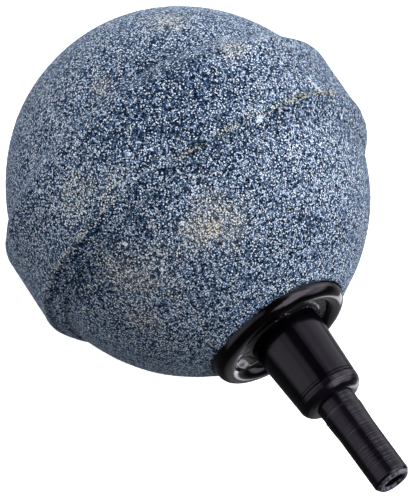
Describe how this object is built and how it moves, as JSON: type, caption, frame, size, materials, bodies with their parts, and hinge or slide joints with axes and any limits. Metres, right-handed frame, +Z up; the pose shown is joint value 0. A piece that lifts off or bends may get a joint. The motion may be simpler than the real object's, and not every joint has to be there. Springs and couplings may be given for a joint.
{
  "type": "air stone",
  "caption": "Porous ball air stone with a pressed belt round its middle, a black dished seat, a tapered stem and a straight hose nipple.",
  "frame": {"origin": "middle of the underside of the object's box, on the surface that the ball lies on", "axes": "+X along the fitting and out of the hose nipple, +Z up, with the ball lying on its belt"},
  "size_m": [0.0748, 0.0504, 0.05],
  "materials": {
    "bonded_grit": "matte",
    "cup_plastic": "satin",
    "stem_plastic": "satin",
    "nipple_plastic": "satin",
    "well_adhesive": "gloss",
    "seat_adhesive": "gloss"
  },
  "bodies": {
    "root": {"porous_ball": "bonded_grit", "base_cup": "cup_plastic", "stem_sleeve": "stem_plastic", "airline_nipple": "nipple_plastic", "well_glue": "well_adhesive", "seat_glue": "seat_adhesive", "socket_glue": "seat_adhesive"}
  },
  "joints": []
}
